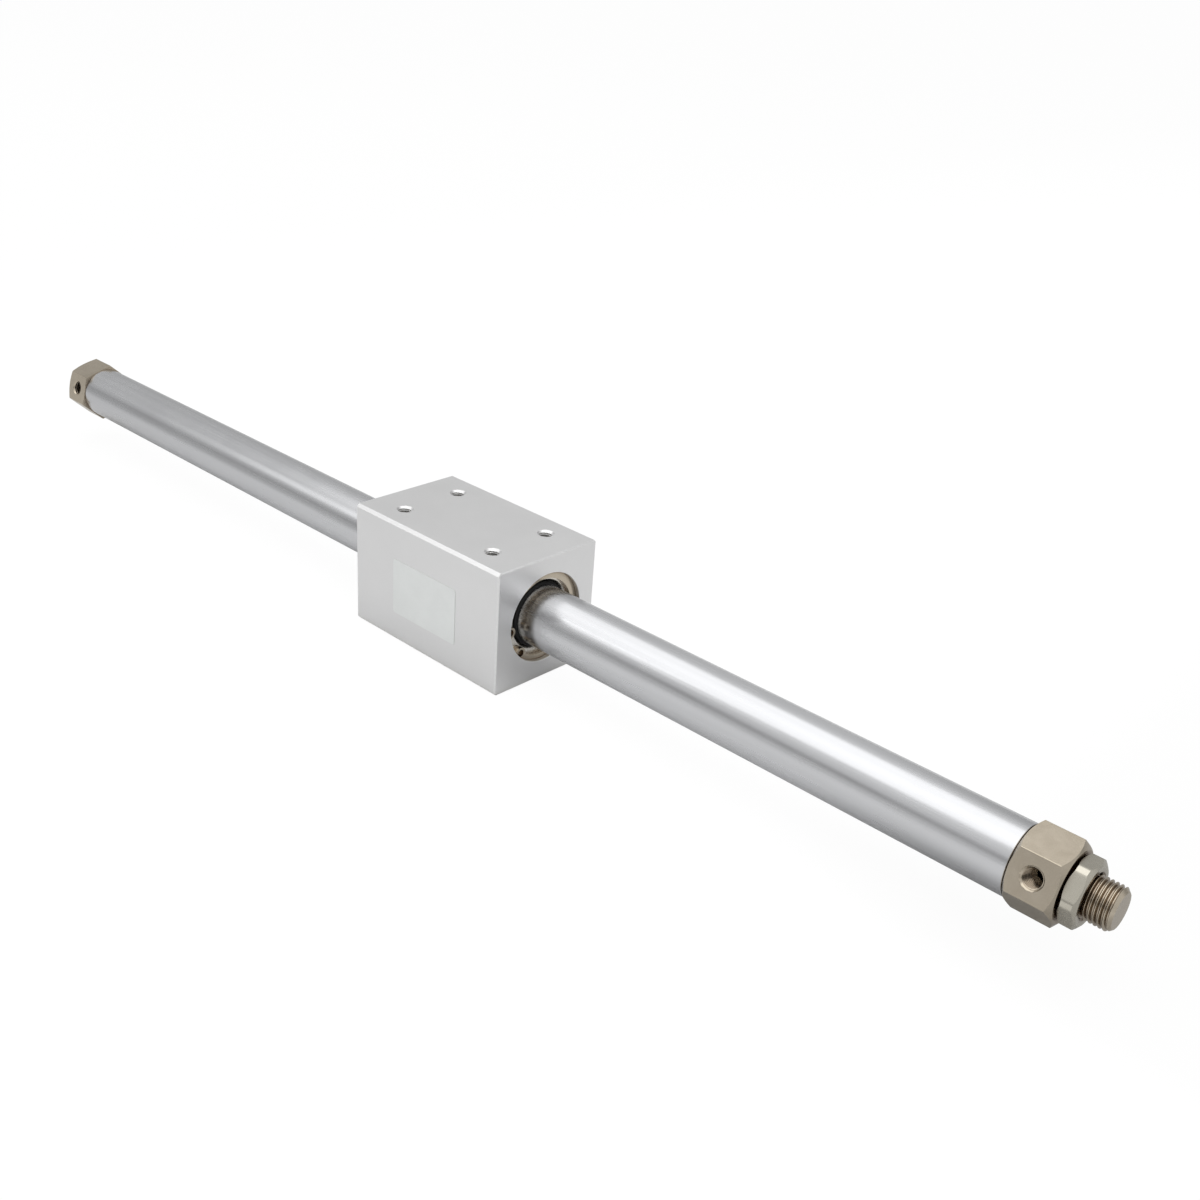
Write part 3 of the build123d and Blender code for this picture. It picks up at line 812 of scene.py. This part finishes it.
def drill_cover(cover, outer_x, spigot_tip_x, face_direction):
    """Cut the air passage, the tapped port and the cross hole between them."""
    side = 1 if outer_x > spigot_tip_x else -1
    port_x = outer_x - side * port_from_face
    outward = direction(face_direction)
    passage_ends = (spigot_tip_x - side * JOIN_OVERLAP, port_x + side * cross_hole_radius)
    passage = turned_piece("passage", [(x, passage_radius) for x in passage_ends], HOLE_POINTS)
    combine(cover, passage, "DIFFERENCE")
    cross_ends = (0, cover_across_flats / 2 - port_depth / 2)
    outline = [(x, cross_hole_radius) for x in cross_ends]
    cross_hole = turned_piece("cross_hole", outline, HOLE_POINTS)
    cross_hole.data.transform(facing((port_x, 0, 0), outward, ALONG))
    combine(cover, cross_hole, "DIFFERENCE")
    mouth = Vector((port_x, 0, 0)) + outward * cover_across_flats / 2
    mouth_radius = PORT_THREAD[0] + port_countersink
    port = tap("port", PORT_THREAD, port_depth, mouth_radius, facing(mouth, outward, ALONG))
    combine(cover, port, "DIFFERENCE")


def make_front_cover():
    """The nosed cover: hexagon head with its port, and the threaded nose."""
    shoulder_x = nut_low.x
    nose_end_x = cover_high.x
    cover = cover_blank(
        "front_cover_finished", tube_high.x, shoulder_x, cover_low.x, front_port_direction
    )

    def limits(x):
        return 0, nose_radius - max(nose_chamfer - (nose_end_x - x), 0)

    start_x = shoulder_x - JOIN_OVERLAP
    nose = thread_rod("nose", NOSE_THREAD, start_x, nose_end_x, limits, COVER_POINTS)
    combine(cover, nose, "UNION")
    drill_cover(cover, shoulder_x, cover_low.x, front_port_direction)
    smooth(cover)
    fit(cover, "cylinder", "nickel_plate", "front_cover")


def make_rear_cover():
    """The plain cover: hexagon head with its port."""
    cover = cover_blank(
        "rear_cover_finished",
        tube_low.x,
        rear_low.x,
        rear_high.x,
        rear_port_direction,
        SHALLOW_CHAMFER,
    )
    drill_cover(cover, rear_low.x, rear_high.x, rear_port_direction)
    smooth(cover)
    fit(cover, "cylinder", "nickel_plate", "rear_cover")


def make_nut():
    """The thin mounting nut, with both mouths of its thread countersunk."""
    nut = hexagon_head(
        "mounting_nut_finished",
        nut_low.x,
        nut_high.x,
        nut_across_flats,
        nut_direction,
        nut_face_inset,
        nut_corner_cut,
    )
    bore = nose_radius + nut_thread_gap
    widest = bore + nut_mouth + nut_mouth_overrun
    outline = [
        (nut_low.x - nut_mouth_overrun, widest),
        (nut_low.x + nut_mouth, bore),
        (nut_high.x - nut_mouth, bore),
        (nut_high.x + nut_mouth_overrun, widest),
    ]
    combine(nut, turned_piece("nut_hole", outline, COVER_POINTS), "DIFFERENCE")
    smooth(nut)
    fit(nut, "cylinder", "nickel_plate", "mounting_nut", material=nut_plate)


def make_block():
    """The carriage block with real threads in its four mounting holes."""
    block = bpy.data.objects.new("block", frame["nodes"]["carriage_block"].data.copy())
    bpy.context.scene.collection.objects.link(block)
    face_outwards(block)
    for x_side in (-1, 1):
        for y_side in (-1, 1):
            mouth = Vector(
                (
                    block_middle.x + x_side * hole_spacing[0] / 2,
                    y_side * hole_spacing[1] / 2,
                    block_high.z,
                )
            )
            hole = tap(
                "mount_hole",
                MOUNT_THREAD,
                hole_depth,
                hole_mouth_radius,
                facing(mouth, UP, ALONG),
            )
            combine(block, hole, "DIFFERENCE")
    smooth(block)
    fit(block, "carriage", "anodised_block", "carriage_block")


def make_wiper(node, side):
    """A black wiper: a flat ring whose thin lip leans out through the seat washer."""
    low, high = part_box(node)
    inner_x = low.x if side > 0 else high.x
    end_x = inner_x + side * wiper_body_length
    tip_x = end_x + side * wiper_lip_reach
    root_x = end_x - side * wiper_lip_root
    lip_radius = tube_radius + wiper_tube_gap
    body_radius = lip_radius + wiper_body_gap
    outline = [
        (inner_x, body_radius),
        (root_x, body_radius),
        (tip_x - side * wiper_lip_edge, lip_radius),
        (tip_x, lip_radius),
        (tip_x, lip_radius + wiper_lip_tip),
        (end_x + side * washer_thickness, wiper_mouth_radius - wiper_lip_taper),
        (end_x, wiper_mouth_radius),
        (end_x, high.z),
        (inner_x, high.z),
    ]
    wiper = turned_piece(node + "_finished", outline, WIPER_POINTS, hollow=True)
    smooth(wiper)
    fit(wiper, "carriage", "nitrile_rubber", node)


def make_label():
    """A blank label on the block's side."""
    half_length, half_height = label_size[0] / 2, label_size[1] / 2
    outline = []
    for quarter in range(4):
        x_side = 1 if quarter in (0, 3) else -1
        z_side = 1 if quarter in (0, 1) else -1
        corner_x = block_middle.x + x_side * (half_length - label_corner)
        corner_z = z_side * (half_height - label_corner) - label_drop
        for step in range(LABEL_CORNER_STEPS + 1):
            turn = (quarter + step / LABEL_CORNER_STEPS) * pi / 2
            outline.append(
                (corner_x + label_corner * cos(turn), corner_z + label_corner * sin(turn))
            )
    rings = [
        [(x, y, z) for x, z in outline] for y in (block_low.y, block_low.y - label_thickness)
    ]
    label = skin("label", rings)
    smooth(label)
    fit(label, "carriage", "anodised_block", material=label_film)


# Stage: camera, floor, light

camera_place = (0.25907, -0.22977, 0.16473)
camera_azimuth = radians(41.39)
camera_tilt = radians(63.53)
camera_roll = radians(4.43)
camera_clip_start = 10.0 * MM

# The lens and the sensor are in millimetres
camera_lens = 41.15
camera_sensor = 36.0

floor_reach = 8.0
backdrop_glow = 1.05
backdrop_share = 0.9
card_distance = 0.9

# A lamp's watts for a square metre of it at a radiance of 1
WATTS_PER_RADIANCE = 4


def make_camera():
    """The camera at the photograph's viewing angle."""
    data = bpy.data.cameras.new("camera")
    data.sensor_width = camera_sensor
    data.lens = camera_lens
    data.clip_start = camera_clip_start
    camera = bpy.data.objects.new("camera", data)
    camera.matrix_world = (
        Matrix.Translation(camera_place)
        @ Matrix.Rotation(camera_azimuth, 4, "Z")
        @ Matrix.Rotation(camera_tilt, 4, "X")
        @ Matrix.Rotation(camera_roll, 4, "Z")
    )
    bpy.context.scene.collection.objects.link(camera)
    bpy.context.scene.camera = camera


def stage_sheet(name, corners, material):
    """A flat sheet of the stage through four corners."""
    mesh = bpy.data.meshes.new(name)
    mesh.from_pydata(corners, [], [(0, 1, 2, 3)])
    mesh.materials.append(material)
    sheet = bpy.data.objects.new(name, mesh)
    bpy.context.scene.collection.objects.link(sheet)
    return sheet


def plain_tree(name):
    """An empty material and its node tree."""
    made = bpy.data.materials.new(name)
    made.use_nodes = True
    made.node_tree.nodes.clear()
    return made, made.node_tree


def make_floor():
    """A pale floor with painted shade: darker towards the rear cover, with a painted shadow under the
    nose.

    To the camera it is white but for the soft shadow."""
    made, tree = plain_tree("pale_floor")
    diffuse = tree.nodes.new("ShaderNodeBsdfDiffuse")
    parts = tree.nodes.new("ShaderNodeSeparateXYZ")
    tree.links.new(position(tree), parts.inputs[0])
    x, y = parts.outputs["X"], parts.outputs["Y"]
    # Painted shade in the floor's colour, seen in the metal: darker towards the rear cover, and a
    # painted shadow under the nose.
    pale = spread(tree, x, low=0.56, high=0.77, from_low=-0.45, from_high=0.0)
    at_nose = spread(tree, x, from_low=0.115, from_high=0.165)
    painted_shadow_under_nose = spread(tree, y, high=0.36, from_low=-0.035, from_high=-0.012)
    shaded = math_node(tree, "MULTIPLY", at_nose, painted_shadow_under_nose)
    lit = math_node(tree, "SUBTRACT", 1.0, shaded)
    tree.links.new(math_node(tree, "MULTIPLY", pale, lit), diffuse.inputs["Color"])
    glow = add_node(tree, "ShaderNodeEmission", Color=WHITE, Strength=backdrop_glow)
    path = tree.nodes.new("ShaderNodeLightPath")
    share = math_node(tree, "MULTIPLY", path.outputs["Is Camera Ray"], backdrop_share)
    mix = tree.nodes.new("ShaderNodeMixShader")
    tree.links.new(share, mix.inputs[0])
    tree.links.new(diffuse.outputs[0], mix.inputs[1])
    tree.links.new(glow.outputs[0], mix.inputs[2])
    output = tree.nodes.new("ShaderNodeOutputMaterial")
    tree.links.new(mix.outputs[0], output.inputs["Surface"])
    corners = [
        (x_side * floor_reach, y_side * floor_reach, floor_z)
        for x_side, y_side in ((-1, -1), (1, -1), (1, 1), (-1, 1))
    ]
    stage_sheet("floor", corners, made)


def make_world():
    """White to the camera, and to all else a pale room, brighter above than at the sides.

    It is dimmer towards the rear cover's side, and behind the object from its middle to the nose."""
    world = bpy.data.worlds.new("studio")
    bpy.context.scene.world = world
    world.use_nodes = True
    tree = world.node_tree
    tree.nodes.clear()
    seen = add_node(tree, "ShaderNodeBackground", Color=WHITE, Strength=1.0)
    room = add_node(tree, "ShaderNodeBackground", Color=WHITE)
    parts = tree.nodes.new("ShaderNodeSeparateXYZ")
    where = tree.nodes.new("ShaderNodeTexCoord")
    tree.links.new(where.outputs["Generated"], parts.inputs[0])
    x, y, z = [parts.outputs[axis] for axis in "XYZ"]
    above = spread(tree, z, low=0.62, high=0.8, from_low=0.0, from_high=1.0)
    rear_side = spread(tree, x, low=0.7, high=1.0, from_low=-0.85, from_high=-0.4)
    behind = spread(tree, y, from_low=0.6, from_high=0.85)
    nose_side = spread(tree, x, high=0.45, from_low=-0.42, from_high=-0.22)
    dimmed = math_node(tree, "MULTIPLY", behind, nose_side)
    shade = math_node(tree, "MULTIPLY", rear_side, math_node(tree, "SUBTRACT", 1.0, dimmed))
    tree.links.new(math_node(tree, "MULTIPLY", above, shade), room.inputs["Strength"])
    path = tree.nodes.new("ShaderNodeLightPath")
    mix = tree.nodes.new("ShaderNodeMixShader")
    tree.links.new(path.outputs["Is Camera Ray"], mix.inputs[0])
    tree.links.new(room.outputs[0], mix.inputs[1])
    tree.links.new(seen.outputs[0], mix.inputs[2])
    output = tree.nodes.new("ShaderNodeOutputWorld")
    tree.links.new(mix.outputs[0], output.inputs["Surface"])


def make_softbox(name, centre, target, length, width, radiance):
    """A rectangular softbox, long along X, that faces a target."""
    data = bpy.data.lights.new(name, "AREA")
    data.shape = "RECTANGLE"
    data.size = length
    data.size_y = width
    data.energy = radiance * length * width * WATTS_PER_RADIANCE
    lamp = bpy.data.objects.new(name, data)
    back = (Vector(centre) - Vector(target)).normalized()
    y_axis = back.cross(Vector(ALONG)).normalized()
    x_axis = y_axis.cross(back)
    lamp.matrix_world = (
        Matrix.Translation(centre) @ Matrix((x_axis, y_axis, back)).transposed().to_4x4()
    )
    lamp.visible_camera = False
    bpy.context.scene.collection.objects.link(lamp)


def make_card(name, strength, near_end, far_end, half_width):
    """A long card of one brightness beside the camera, seen only in reflections.

    Each end gives its place along X and the direction of its middle from the axis."""
    made, tree = plain_tree(name)
    glow = add_node(tree, "ShaderNodeEmission", Color=WHITE, Strength=strength)
    output = tree.nodes.new("ShaderNodeOutputMaterial")
    tree.links.new(glow.outputs[0], output.inputs["Surface"])
    corners = []
    for (x, middle), edges in ((near_end, (-1, 1)), (far_end, (1, -1))):
        for edge in edges:
            way = card_distance * direction(middle + edge * half_width)
            corners.append((x, way.y, way.z))
    card = stage_sheet(name, corners, made)
    card.visible_camera = False
    card.visible_diffuse = False
    card.visible_shadow = False


make_camera()
make_world()
make_floor()
make_softbox(
    "overhead",
    centre=(-0.1, -0.05, 1.0),
    target=(-0.1, -0.05, 0),
    length=2.0,
    width=1.32,
    radiance=0.6,
)
make_softbox(
    "edge_light",
    centre=(-0.75, -0.55, 0.66),
    target=(0, 0, 0),
    length=0.5,
    width=0.3,
    radiance=0.55,
)
make_card(
    "grey_card",
    strength=0.36,
    near_end=(0.5, 165.0),
    far_end=(-2.2, 158.0),
    half_width=7.0,
)
make_card(
    "camera_shade",
    strength=0.1,
    near_end=(2.0, 144.0),
    far_end=(0.5, 144.0),
    half_width=14.0,
)

dress_nodes()
make_tube()
make_front_cover()
make_rear_cover()
make_nut()
make_block()
make_wiper("front_scraper", 1)
make_wiper("rear_scraper", -1)
make_label()

bpy.context.scene.view_settings.view_transform = "Standard"
